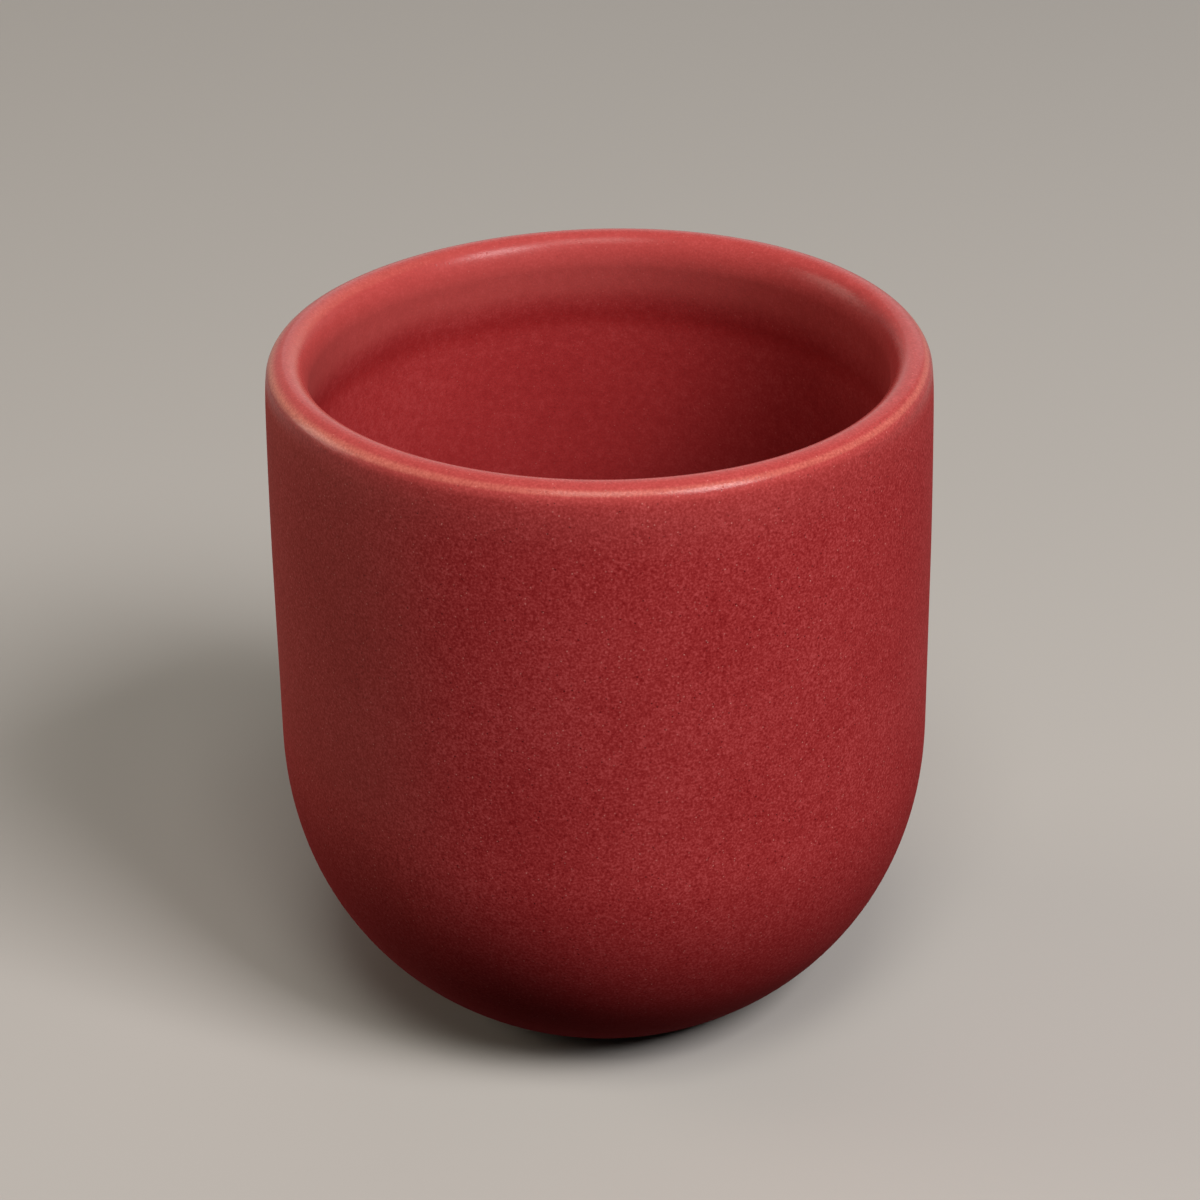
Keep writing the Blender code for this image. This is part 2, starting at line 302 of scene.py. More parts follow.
def turned(name, section, finish, edge_point, edge_direction, edge_wander, marks):
    """Turns a half section round the axis in a Geometry Nodes tree, and returns the closed body as a mesh."""
    tree = bpy.data.node_groups.new("turned_on_the_wheel", "GeometryNodeTree")
    sizes = {"Turn Steps": TURN_STEPS, "Rim Rise": RIM_RISE, "Rim Rise From": RIM_RISE_FROM, "Rim Turn": RIM_TURN,
             "Wander": HAND_WANDER, "Wander Per Metre": 1 / HAND_SPAN,
             "Edge Point": (edge_point[0], 0.0, edge_point[1]),
             "Edge Direction": (edge_direction[0], 0.0, edge_direction[1]), "Edge Reach": EDGE_REACH,
             "Edge Wander": edge_wander, "Seed": SEED, "Finish": finish}
    kinds = {int: "NodeSocketInt", float: "NodeSocketFloat", tuple: "NodeSocketVector",
             bpy.types.Material: "NodeSocketMaterial"}
    tree.interface.new_socket("Section", in_out="INPUT", socket_type="NodeSocketGeometry")
    for label, value in sizes.items():
        tree.interface.new_socket(label, in_out="INPUT", socket_type=kinds[type(value)])
    tree.interface.new_socket("Body", in_out="OUTPUT", socket_type="NodeSocketGeometry")
    given = add(tree, "NodeGroupInput").outputs

    # a grid with one column for each step of the turn and one row for each point of the section
    count = add(tree, "GeometryNodeAttributeDomainSize", {"Geometry": given["Section"]}).outputs["Point Count"]
    columns = add(tree, "ShaderNodeMath", {0: given["Turn Steps"], 1: 1.0}).outputs[0]
    grid = add(tree, "GeometryNodeMeshGrid", {"Vertices X": columns, "Vertices Y": count}).outputs["Mesh"]
    index = add(tree, "GeometryNodeInputIndex").outputs[0]
    column = add(tree, "ShaderNodeMath", {0: index, 1: count}, operation="DIVIDE").outputs[0]
    column = add(tree, "ShaderNodeMath", {0: column}, operation="FLOOR").outputs[0]
    row = add(tree, "ShaderNodeMath", {0: index, 1: count}, operation="MODULO").outputs[0]
    turn = add(tree, "ShaderNodeMath", {0: column, 1: given["Turn Steps"]}, operation="DIVIDE").outputs[0]
    turn = add(tree, "ShaderNodeMath", {0: turn, 1: 2 * pi}, operation="MULTIPLY").outputs[0]
    place = add(tree, "GeometryNodeInputPosition").outputs[0]
    on_section = add(tree, "GeometryNodeSampleIndex", {"Geometry": given["Section"], "Value": place, "Index": row},
                     data_type="FLOAT_VECTOR").outputs["Value"]
    round_axis = add(tree, "ShaderNodeVectorRotate", {"Vector": on_section, "Angle": turn},
                     rotation_type="Z_AXIS").outputs[0]

    # the lip isn't quite level: it dries and fires into a shallow saddle, which fades out down the wall
    height = add(tree, "ShaderNodeSeparateXYZ", {0: on_section}).outputs["Z"]
    share = add(tree, "ShaderNodeMapRange", {"Value": height, "From Min": given["Rim Rise From"],
                                             "From Max": HEIGHT}).outputs[0]
    share = add(tree, "ShaderNodeMath", {0: share, 1: RIM_RISE_POWER}, operation="POWER").outputs[0]
    wave = add(tree, "ShaderNodeMath", {0: turn, 1: 2.0, 2: given["Rim Turn"]},
               operation="MULTIPLY_ADD").outputs[0]
    wave = add(tree, "ShaderNodeMath", {0: wave}, operation="SINE").outputs[0]
    wave = add(tree, "ShaderNodeMath", {0: wave, 1: share}, operation="MULTIPLY").outputs[0]
    rise = add(tree, "ShaderNodeMath", {0: wave, 1: given["Rim Rise"]}, operation="MULTIPLY").outputs[0]
    lift = add(tree, "ShaderNodeCombineXYZ", {"Z": rise}).outputs[0]
    moved = add(tree, "ShaderNodeVectorMath", {0: round_axis, 1: lift}, operation="ADD").outputs[0]

    # the hand and the drying leave the wall a few hundredths of a millimetre out of true
    hand = add(tree, "ShaderNodeTexNoise", {"Vector": round_axis, "Scale": given["Wander Per Metre"], "Detail": 1.0,
                                            "W": given["Seed"]}, noise_dimensions="4D").outputs[0]
    hand = add(tree, "ShaderNodeMath", {0: hand, 1: 0.5}, operation="SUBTRACT").outputs[0]
    hand = add(tree, "ShaderNodeMath", {0: hand, 1: given["Wander"]}, operation="MULTIPLY").outputs[0]
    flat = add(tree, "ShaderNodeVectorMath", {0: round_axis, 1: (1, 1, 0)}, operation="MULTIPLY").outputs[0]
    outwards = add(tree, "ShaderNodeVectorMath", {0: flat}, operation="NORMALIZE").outputs[0]
    shift = add(tree, "ShaderNodeVectorMath", {0: outwards, "Scale": hand}, operation="SCALE").outputs[0]
    moved = add(tree, "ShaderNodeVectorMath", {0: moved, 1: shift}, operation="ADD").outputs[0]

    # the line where the glaze was wiped wanders along the clay
    gap = add(tree, "ShaderNodeVectorMath", {0: on_section, 1: given["Edge Point"]},
              operation="DISTANCE").outputs["Value"]
    near = add(tree, "ShaderNodeMapRange", {"Value": gap, "From Max": given["Edge Reach"], "To Min": 1.0,
                                            "To Max": 0.0}, interpolation_type="SMOOTHSTEP").outputs[0]
    ring = add(tree, "ShaderNodeVectorRotate", {"Vector": (1.0, 0.0, 0.0), "Angle": turn},
               rotation_type="Z_AXIS").outputs[0]
    wiped = add(tree, "ShaderNodeTexNoise", {"Vector": ring, "Scale": WIPES, "Detail": 3.0, "W": given["Seed"]},
                noise_dimensions="4D").outputs[0]
    wiped = add(tree, "ShaderNodeMath", {0: wiped, 1: 0.5}, operation="SUBTRACT").outputs[0]
    wiped = add(tree, "ShaderNodeMath", {0: wiped, 1: near}, operation="MULTIPLY").outputs[0]
    wiped = add(tree, "ShaderNodeMath", {0: wiped, 1: given["Edge Wander"]}, operation="MULTIPLY").outputs[0]
    along = add(tree, "ShaderNodeVectorRotate", {"Vector": given["Edge Direction"], "Angle": turn},
                rotation_type="Z_AXIS").outputs[0]
    along = add(tree, "ShaderNodeVectorMath", {0: along, "Scale": wiped}, operation="SCALE").outputs[0]
    moved = add(tree, "ShaderNodeVectorMath", {0: moved, 1: along}, operation="ADD").outputs[0]

    body = add(tree, "GeometryNodeSetPosition", {"Geometry": grid, "Position": moved}).outputs[0]
    for mark in marks:
        value = add(tree, "GeometryNodeInputNamedAttribute", {"Name": mark}).outputs[0]
        value = add(tree, "GeometryNodeSampleIndex",
                    {"Geometry": given["Section"], "Value": value, "Index": row}).outputs[0]
        body = add(tree, "GeometryNodeStoreNamedAttribute",
                   {"Geometry": body, "Name": mark, "Value": value}).outputs[0]
    body = add(tree, "GeometryNodeMergeByDistance", {"Geometry": body, "Distance": WELD}).outputs[0]
    body = add(tree, "GeometryNodeRealizeInstances", {"Geometry": body}).outputs[0]
    body = add(tree, "GeometryNodeSetMaterial", {"Geometry": body, "Material": given["Finish"]}).outputs[0]
    add(tree, "NodeGroupOutput", {"Body": body})

    half = bpy.data.meshes.new(name + "_section")
    half.from_pydata([(r, 0.0, z) for r, z in section], [(i, i + 1) for i in range(len(section) - 1)], [])
    for mark, values in marks.items():
        half.attributes.new(mark, "FLOAT", "POINT").data.foreach_set("value", values)
    piece = bpy.data.objects.new(name, half)
    bpy.context.scene.collection.objects.link(piece)
    wheel = piece.modifiers.new("wheel", "NODES")
    wheel.node_group = tree
    for item in tree.interface.items_tree:
        if item.name in sizes:
            wheel[item.identifier] = sizes[item.name]
    evaluated = piece.evaluated_get(bpy.context.evaluated_depsgraph_get())
    body_mesh = bpy.data.meshes.new_from_object(evaluated)
    piece.modifiers.remove(wheel)
    shape = bmesh.new()
    shape.from_mesh(body_mesh)
    bmesh.ops.recalc_face_normals(shape, faces=shape.faces[:])
    shape.to_mesh(body_mesh)
    shape.free()
    body_mesh.shade_smooth()
    body_mesh.set_sharp_from_angle(angle=SHARP_ANGLE)
    piece.data = body_mesh
    return piece


def bare_material(name):
    """A new material, its tree, its shader, and the surface's own place in millimetres."""
    made = bpy.data.materials.new(name)
    made.use_nodes = True
    tree = made.node_tree
    place = add(tree, "ShaderNodeTexCoord").outputs["Object"]
    millimetres = add(tree, "ShaderNodeVectorMath", {0: place, "Scale": 1 / MM}, operation="SCALE").outputs[0]
    return made, tree, tree.nodes["Principled BSDF"], millimetres


# The glaze's own sizes are in millimetres. A depth is measured down from the top of the lip, "across" from the axis
# to the right and "along" from the axis to the back, and "round the lip" is the share of the way to the inside. A
# pair of values is where something starts and ends.
GRAIN = 0.30                          # the real crystals are finer, and would not show at this size
GRAIN_INSIDE = 0.30                   # share of the grain that shows inside
MOTTLE, MOTTLE_SHARE = 1.1, 0.22
DRIFT, DRIFT_SHARE = 14.0, 0.16
# gap between the cells, size of a spot, the cells' random numbers from which a spot starts to show and shows whole,
# and how far the pattern is moved
SPECKS = (0.65, 0.068, (0.35, 1.0), 0.0)
PITS = (0.80, 0.085, (0.35, 0.7), 37.0)
SPOT_EDGE = (0.6, 1.6)                # shares of a spot's size between which it fades
OUTSIDE_ENDS = (0.3, 0.5)             # round the lip

# the thin coat over the lip, and a paler band on the bead inside: how far it goes to its own tone, and how much of
# that stays at the far right and under the lip's turn
THIN_SHARE, THIN_ON_RIGHT, UNDER_LIP_TURN = 0.36, 0.72, 0.42
LIP_TURN = (0.6, 2.6)                 # depths
THIN_FADES_OUTSIDE = (2.0, 10.0)
PALE_BAND_FADES_INSIDE = (6.4, 10.0)
# painted shade on the inside right, from the lip's inner side down the wall: how much of the thin tone stays there,
# and how far it goes to the darkest tone
SHADE_RIGHT_THIN, SHADE_RIGHT_DEEP = 0.4, 0.20
SHADE_RIGHT_ACROSS = (18.0, 33.0)          # across
SHADE_RIGHT_ROUND_LIP = (0.58, 0.75)       # round the lip

# the line in which it breaks on the lip's turn: its depth, width and strength, with what each gains at the left,
# where the gain is painted highlight; inside, the line shows only at the left and is painted highlight
BREAK_DEPTH, HIGHLIGHT_DEPTH_LEFT, HIGHLIGHT_DEPTH_INSIDE = 0.74, 0.15, 0.40
BREAK_WIDTH, HIGHLIGHT_WIDTH_LEFT, BREAK_CORE = 0.42, 0.30, 0.1
BREAK_SHARE, HIGHLIGHT_SHARE_LEFT, HIGHLIGHT_SHARE_INSIDE_LEFT = 0.24, 0.30, 0.18
LEFT_HIGHLIGHT_ACROSS = (-40.0, -14.0)            # across

# the dark line in the hollow under the bead, partly pooled glaze and partly painted shade: its depth, how far that
# wanders and in what span, its strength, and the distances from its middle between which it fades; and painted
# shade that darkens the outside towards the foot
HOLLOW_LINE_DEPTH, HOLLOW_LINE_WANDER, HOLLOW_LINE_SPAN = 11.4, 3.0, 22.0
HOLLOW_LINE_SHARE, HOLLOW_LINE_FADES = 0.32, (0.3, 2.2)
DARKER_TO_FOOT, DARKER_TO_FOOT_SHARE = (50.0, 80.0), 0.6

# painted sheen: the front left of the wall paler and browner; painted shade: the darkest tone by the foot, reaching
# higher at the front left, and low in the bowl
FRONT_LEFT_ACROSS = (-30.0, -14.0)       # across
FRONT_LEFT_ALONG = (-8.0, 34.0)          # along
SHEEN_LEFT_SHARE, SHEEN_LEFT_STARTS, SHEEN_LEFT_ENDS = 0.26, (1.0, 4.0), (44.0, 64.0)
DEEP_BY_FOOT, DEEP_FROM, DEEP_FROM_FRONT_LEFT, DEEP_TO = 0.65, 70.0, 48.0, 80.0
DEEP_IN_BOWL, BOWL_DEEPENS = 0.33, (16.0, 40.0)

LIP_ROUGHNESS = 0.20                  # the outer turn, where the coat is thinnest and melts out smoothest
INNER_LIP_ROUGHNESS = 0.26
WALL_ROUGHNESS = 0.80
INNER_LIP_STARTS = (0.35, 0.60)       # round the lip
GLOSSY_LIP_ENDS = (1.2, 4.0)          # depths
DRIER, DRIER_BY = (38.0, 64.0), 0.25  # the lower wall has a drier look
GRAIN_GLOSS = 0.2                     # how much glossier the pale grain is than the dark
GLAZE_SPECULAR = 0.16
GRAIN_RELIEF = 0.018
RIPPLE_RELIEF = 0.006
PIT_RELIEF = 0.02


def red_glaze(name, tones):
    """Satin-matt red glaze. Fine crystals under a thin glass give a soft broad gloss and a close grain, with pale
    specks where a crystal reaches the surface and dark ones at pits. Inside, where it is thicker, it is calmer."""
    finish, tree, shader, at = bare_material(name)
    across, along, _ = add(tree, "ShaderNodeSeparateXYZ", {0: at}).outputs
    inside = add(tree, "ShaderNodeAttribute", attribute_name="inside").outputs["Fac"]
    depth = add(tree, "ShaderNodeAttribute", attribute_name="below_rim").outputs["Fac"]
    outer = add(tree, "ShaderNodeMapRange", {"Value": inside, "From Min": OUTSIDE_ENDS[0],
                                             "From Max": OUTSIDE_ENDS[1], "To Min": 1.0, "To Max": 0.0}).outputs[0]
    grain = add(tree, "ShaderNodeTexNoise", {"Vector": at, "Scale": 1 / GRAIN, "Detail": 2.0,
                                             "Roughness": 0.6}).outputs[0]
    mottle = add(tree, "ShaderNodeTexNoise", {"Vector": at, "Scale": 1 / MOTTLE, "Detail": 2.0}).outputs[0]
    drift = add(tree, "ShaderNodeTexNoise", {"Vector": at, "Scale": 1 / DRIFT, "Detail": 1.0}).outputs[0]

    # tone: the grain carries it outside, the softer mottle inside
    close = add(tree, "ShaderNodeMapRange", {"Value": inside, "To Min": 1.0, "To Max": GRAIN_INSIDE}).outputs[0]
    tone = add(tree, "ShaderNodeMath", {0: grain, 1: 0.5}, operation="SUBTRACT").outputs[0]
    tone = add(tree, "ShaderNodeMath", {0: tone, 1: close, 2: 0.5}, operation="MULTIPLY_ADD").outputs[0]
    for layer, share in ((mottle, MOTTLE_SHARE), (drift, DRIFT_SHARE)):
        level = add(tree, "ShaderNodeMath", {0: layer, 1: 0.5}, operation="SUBTRACT").outputs[0]
        tone = add(tree, "ShaderNodeMath", {0: level, 1: share, 2: tone}, operation="MULTIPLY_ADD").outputs[0]
    ramp = add(tree, "ShaderNodeValToRGB", {"Fac": tone})
    ramp.color_ramp.elements[0].position = 0.25
    ramp.color_ramp.elements[0].color = linear(tones["dark"])
    ramp.color_ramp.elements[1].position = 0.75
    ramp.color_ramp.elements[1].color = linear(tones["pale"])
    ramp.color_ramp.elements.new(0.5).color = linear(tones["middle"])

    # specks and pits: a few of the cells of a scattered pattern, each with a small round middle
    spots = []
    for gap, size, picked, offset_by in (SPECKS, PITS):
        moved = add(tree, "ShaderNodeVectorMath", {0: at, 1: (offset_by,) * 3}).outputs[0]
        cells = add(tree, "ShaderNodeTexVoronoi", {"Vector": moved, "Scale": 1 / gap})
        spot = add(tree, "ShaderNodeMapRange", {"Value": cells.outputs["Distance"],
                                                "From Min": SPOT_EDGE[0] * size / gap,
                                                "From Max": SPOT_EDGE[1] * size / gap,
                                                "To Min": 1.0, "To Max": 0.0}).outputs[0]
        pick = add(tree, "ShaderNodeSeparateColor", {0: cells.outputs["Color"]}).outputs[0]
        pick = add(tree, "ShaderNodeMapRange", {"Value": pick, "From Min": picked[0],
                                                "From Max": picked[1]}).outputs[0]
        spot = add(tree, "ShaderNodeMath", {0: spot, 1: pick}, operation="MULTIPLY").outputs[0]
        spots.append(add(tree, "ShaderNodeMath", {0: spot, 1: close}, operation="MULTIPLY").outputs[0])
    specks, pits = spots

    # melting, it draws back from the lip, and the buff clay warms it from below; inside, the tone is paler on the
    # bead down to the hollow
    wander = add(tree, "ShaderNodeTexNoise", {"Vector": at, "Scale": 1 / HOLLOW_LINE_SPAN, "Detail": 1.0}).outputs[0]
    line = add(tree, "ShaderNodeMath", {0: wander, 1: 0.5}, operation="SUBTRACT").outputs[0]
    line = add(tree, "ShaderNodeMath", {0: line, 1: HOLLOW_LINE_WANDER, 2: depth}, operation="MULTIPLY_ADD").outputs[0]
    turn_of_lip = add(tree, "ShaderNodeMapRange", {"Value": depth, "From Min": LIP_TURN[0], "From Max": LIP_TURN[1],
                                                   "To Min": 1.0, "To Max": UNDER_LIP_TURN},
                      interpolation_type="SMOOTHSTEP").outputs[0]
    fades = add(tree, "ShaderNodeMapRange", {"Value": depth, "From Min": THIN_FADES_OUTSIDE[0],
                                             "From Max": THIN_FADES_OUTSIDE[1], "To Min": 1.0, "To Max": 0.0},
                interpolation_type="SMOOTHSTEP").outputs[0]
    thin_outside = add(tree, "ShaderNodeMath", {0: turn_of_lip, 1: fades}, operation="MULTIPLY").outputs[0]
    pale_band_inside = add(tree, "ShaderNodeMapRange", {"Value": line, "From Min": PALE_BAND_FADES_INSIDE[0],
                                                   "From Max": PALE_BAND_FADES_INSIDE[1], "To Min": 1.0, "To Max": 0.0},
                      interpolation_type="SMOOTHSTEP").outputs[0]
    thin = add(tree, "ShaderNodeMix", {"Factor": inside, "A": thin_outside, "B": pale_band_inside}).outputs["Result"]
    share = add(tree, "ShaderNodeMapRange", {"Value": across, "From Min": 0.0, "From Max": WIDEST_RADIUS / MM,
                                             "To Min": THIN_SHARE, "To Max": THIN_ON_RIGHT * THIN_SHARE}).outputs[0]

    # painted shade on the inside right: the paler thin tone is held back there
    shade_inside_right = add(tree, "ShaderNodeMapRange", {"Value": across, "From Min": SHADE_RIGHT_ACROSS[0],
                                              "From Max": SHADE_RIGHT_ACROSS[1]}).outputs[0]
    past_lip = add(tree, "ShaderNodeMapRange", {"Value": inside, "From Min": SHADE_RIGHT_ROUND_LIP[0],
                                                "From Max": SHADE_RIGHT_ROUND_LIP[1]}).outputs[0]
    shade_inside_right = add(tree, "ShaderNodeMath", {0: shade_inside_right, 1: past_lip}, operation="MULTIPLY").outputs[0]
    thin_kept_in_shade = add(tree, "ShaderNodeMapRange", {"Value": shade_inside_right, "To Min": 1.0, "To Max": SHADE_RIGHT_THIN}).outputs[0]
    share = add(tree, "ShaderNodeMath", {0: share, 1: thin_kept_in_shade}, operation="MULTIPLY").outputs[0]
    thin = add(tree, "ShaderNodeMath", {0: thin, 1: share}, operation="MULTIPLY").outputs[0]

    # where the lip turns it breaks to a fine salmon line; its extra breadth and strength towards the left, and the
    # line inside at the left, are painted highlight; the grain is a half on average, so its share is doubled
    left_highlight = add(tree, "ShaderNodeMapRange", {"Value": across, "From Min": LEFT_HIGHLIGHT_ACROSS[0], "From Max": LEFT_HIGHLIGHT_ACROSS[1],
                                            "To Min": 1.0, "To Max": 0.0}).outputs[0]
    middle = add(tree, "ShaderNodeMath", {0: left_highlight, 1: HIGHLIGHT_DEPTH_LEFT, 2: BREAK_DEPTH},
                 operation="MULTIPLY_ADD").outputs[0]
    middle = add(tree, "ShaderNodeMix", {"Factor": outer, "A": HIGHLIGHT_DEPTH_INSIDE, "B": middle}).outputs["Result"]
    width = add(tree, "ShaderNodeMath", {0: left_highlight, 1: HIGHLIGHT_WIDTH_LEFT, 2: BREAK_WIDTH},
                operation="MULTIPLY_ADD").outputs[0]
    strength = add(tree, "ShaderNodeMath", {0: left_highlight, 1: HIGHLIGHT_SHARE_LEFT, 2: BREAK_SHARE},
                   operation="MULTIPLY_ADD").outputs[0]
    inner = add(tree, "ShaderNodeMath", {0: left_highlight, 1: HIGHLIGHT_SHARE_INSIDE_LEFT}, operation="MULTIPLY").outputs[0]
    strength = add(tree, "ShaderNodeMix", {"Factor": outer, "A": inner, "B": strength}).outputs["Result"]
    strength = add(tree, "ShaderNodeMath", {0: grain, 1: strength}, operation="MULTIPLY").outputs[0]
    from_line = add(tree, "ShaderNodeMath", {0: depth, 1: middle}, operation="SUBTRACT").outputs[0]
    from_line = add(tree, "ShaderNodeMath", {0: from_line}, operation="ABSOLUTE").outputs[0]
    break_and_highlight = add(tree, "ShaderNodeMapRange", {"Value": from_line, "From Min": BREAK_CORE, "From Max": width,
                                              "To Min": strength, "To Max": 0.0},
                 interpolation_type="SMOOTHSTEP").outputs[0]
    break_and_highlight = add(tree, "ShaderNodeMath", {0: break_and_highlight, 1: 2.0}, operation="MULTIPLY").outputs[0]

    # the dark line in the hollow under the bead, along a line that wanders, partly pooled glaze and partly painted
    # shade;
    # and painted shade low on the outside, darker towards the foot
    from_hollow_line = add(tree, "ShaderNodeMath", {0: line, 1: HOLLOW_LINE_DEPTH}, operation="SUBTRACT").outputs[0]
    from_hollow_line = add(tree, "ShaderNodeMath", {0: from_hollow_line}, operation="ABSOLUTE").outputs[0]
    pool_and_shade = add(tree, "ShaderNodeMapRange", {"Value": from_hollow_line, "From Min": HOLLOW_LINE_FADES[0],
                                             "From Max": HOLLOW_LINE_FADES[1], "To Min": HOLLOW_LINE_SHARE, "To Max": 0.0},
                interpolation_type="SMOOTHSTEP").outputs[0]
    pool_and_shade = add(tree, "ShaderNodeMath", {0: pool_and_shade, 1: inside}, operation="MULTIPLY").outputs[0]
    darker_to_foot = add(tree, "ShaderNodeMapRange", {"Value": depth, "From Min": DARKER_TO_FOOT[0], "From Max": DARKER_TO_FOOT[1],
                                            "To Min": 0.0, "To Max": DARKER_TO_FOOT_SHARE}).outputs[0]
    pool_and_shade = add(tree, "ShaderNodeMath", {0: pool_and_shade, 1: darker_to_foot}, operation="MAXIMUM").outputs[0]

    # painted sheen: the front left of the wall goes paler and browner; painted shade: the darkest tone by the foot,
    # reaching higher at the front left, and low in the bowl
    front_left = add(tree, "ShaderNodeMapRange", {"Value": across, "From Min": FRONT_LEFT_ACROSS[0],
                                               "From Max": FRONT_LEFT_ACROSS[1], "To Min": 1.0, "To Max": 0.0},
                  interpolation_type="SMOOTHSTEP").outputs[0]
    behind = add(tree, "ShaderNodeMapRange", {"Value": along, "From Min": FRONT_LEFT_ALONG[0],
                                              "From Max": FRONT_LEFT_ALONG[1], "To Min": 1.0,
                                              "To Max": 0.0}).outputs[0]
    front_left = add(tree, "ShaderNodeMath", {0: front_left, 1: behind}, operation="MULTIPLY").outputs[0]
    # painted sheen: a paler, browner tone on the front left of the wall
    painted_sheen_left = add(tree, "ShaderNodeMapRange", {"Value": depth, "From Min": SHEEN_LEFT_ENDS[0], "From Max": SHEEN_LEFT_ENDS[1],
                                             "To Min": SHEEN_LEFT_SHARE, "To Max": 0.0}).outputs[0]
    wall = add(tree, "ShaderNodeMapRange", {"Value": depth, "From Min": SHEEN_LEFT_STARTS[0],
                                            "From Max": SHEEN_LEFT_STARTS[1]}).outputs[0]
    for part in (wall, front_left, outer):
        painted_sheen_left = add(tree, "ShaderNodeMath", {0: painted_sheen_left, 1: part}, operation="MULTIPLY").outputs[0]
    starts = add(tree, "ShaderNodeMapRange", {"Value": front_left, "To Min": DEEP_FROM,
                                              "To Max": DEEP_FROM_FRONT_LEFT}).outputs[0]
    shade_by_foot = add(tree, "ShaderNodeMapRange", {"Value": depth, "From Min": starts, "From Max": DEEP_TO,
                                               "To Min": 0.0, "To Max": DEEP_BY_FOOT}).outputs[0]
    shade_in_bowl = add(tree, "ShaderNodeMapRange", {"Value": depth, "From Min": BOWL_DEEPENS[0],
                                               "From Max": BOWL_DEEPENS[1], "To Min": 0.0,
                                               "To Max": DEEP_IN_BOWL}).outputs[0]
    deep = add(tree, "ShaderNodeMix", {"Factor": inside, "A": shade_by_foot, "B": shade_in_bowl}).outputs["Result"]
    # painted shade on the inside right goes part way to the darkest tone
    painted_shade_right = add(tree, "ShaderNodeMath", {0: shade_inside_right, 1: SHADE_RIGHT_DEEP}, operation="MULTIPLY").outputs[0]
    deep = add(tree, "ShaderNodeMath", {0: deep, 1: painted_shade_right}, operation="MAXIMUM").outputs[0]

    colour = ramp.outputs[0]
    for share, over in ((specks, "speck"), (pits, "pit"), (thin, "thin"), (break_and_highlight, "break_and_highlight"), (pool_and_shade, "pool_and_shade"),
                        (painted_sheen_left, "sheen_left"), (deep, "painted_shade")):
        colour = add(tree, "ShaderNodeMix", {"Factor": share, "A": colour, "B": linear(tones[over])},
                     data_type="RGBA").outputs["Result"]
    tree.links.new(colour, shader.inputs["Base Color"])

    # gloss: the lip melts out smooth and the wall stays satin-matt, drier towards the foot
    on_lip = add(tree, "ShaderNodeMapRange", {"Value": inside, "From Min": INNER_LIP_STARTS[0],
                                              "From Max": INNER_LIP_STARTS[1], "To Min": LIP_ROUGHNESS,
                                              "To Max": INNER_LIP_ROUGHNESS}).outputs[0]
    rough = add(tree, "ShaderNodeMapRange", {"Value": depth, "From Min": GLOSSY_LIP_ENDS[0],
                                             "From Max": GLOSSY_LIP_ENDS[1], "To Min": on_lip,
                                             "To Max": WALL_ROUGHNESS}).outputs[0]
    drier = add(tree, "ShaderNodeMapRange", {"Value": depth, "From Min": DRIER[0], "From Max": DRIER[1],
                                             "To Min": 0.0, "To Max": DRIER_BY}).outputs[0]
    rough = add(tree, "ShaderNodeMath", {0: rough, 1: drier}).outputs[0]
    uneven = add(tree, "ShaderNodeMath", {0: grain, 1: 0.5}, operation="SUBTRACT").outputs[0]
    rough = add(tree, "ShaderNodeMath", {0: uneven, 1: -GRAIN_GLOSS, 2: rough}, operation="MULTIPLY_ADD").outputs[0]
    tree.links.new(rough, shader.inputs["Roughness"])
    shader.inputs["Specular IOR Level"].default_value = GLAZE_SPECULAR

    # relief, in millimetres: the grain of the crystals, the pits, and the faint ripple of a dipped coat
    relief = add(tree, "ShaderNodeMath", {0: grain, 1: GRAIN_RELIEF}, operation="MULTIPLY").outputs[0]
    for layer, high in ((mottle, RIPPLE_RELIEF), (pits, -PIT_RELIEF)):
        relief = add(tree, "ShaderNodeMath", {0: layer, 1: high, 2: relief}, operation="MULTIPLY_ADD").outputs[0]
    bump = add(tree, "ShaderNodeBump", {"Height": relief, "Distance": MM})
    tree.links.new(bump.outputs[0], shader.inputs["Normal"])
    return finish


# painted sheen: the paler, browner tone for the front left of the wall
SHEEN_LEFT_TONE = "#a85b51"
# of these tones the deepest is painted shade, the browned one painted sheen, the thick one partly pooled glaze and
# partly painted shade, and the broken one partly painted highlight at the left
satin_red = red_glaze("satin_matt_red_glaze", {
    "dark": "#8c1418", "middle": "#aa3132", "pale": "#c84f50", "speck": "#e09088", "pit": "#640d10",
    "thin": "#d0645e", "pool_and_shade": "#9a0c10", "break_and_highlight": "#ee957e", "painted_shade": "#5c0b0e", "sheen_left": SHEEN_LEFT_TONE})

HIDDEN_STEP = 4                       # the hidden face takes every fourth point of the seen one
hidden_surface = surface[:-1:HIDDEN_STEP] + surface[-1:]
under = offset(hidden_surface, GLAZE)


def rolled_edge(front, back, steps):
    """The half round that a melted glaze ends in, between its two faces."""
    middle_r, middle_z = (front[0] + back[0]) / 2, (front[1] + back[1]) / 2
    across_r, across_z = front[0] - middle_r, front[1] - middle_z
    return [(middle_r + across_r * cos(angle) + across_z * sin(angle),
             middle_z + across_z * cos(angle) - across_r * sin(angle)) for angle in spread(0, pi, steps)[1:-1]]


line_r, line_z = surface[1][0] - surface[0][0], surface[1][1] - surface[0][1]
line_size = hypot(line_r, line_z)
edge = rolled_edge(surface[0], under[0], EDGE_STEPS)
unseen = len(edge) + len(under)
coat = turned("satin_glaze_coat", surface[::-1] + edge + under, satin_red, surface[0],
              (line_r / line_size, line_z / line_size), EDGE_WANDER,
              {"inside": inside_mark[::-1] + [0.0] * unseen,
               "below_rim": depth_mark[::-1] + [depth_mark[0]] * unseen})
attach(coat, "root")
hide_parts("glaze_coat")

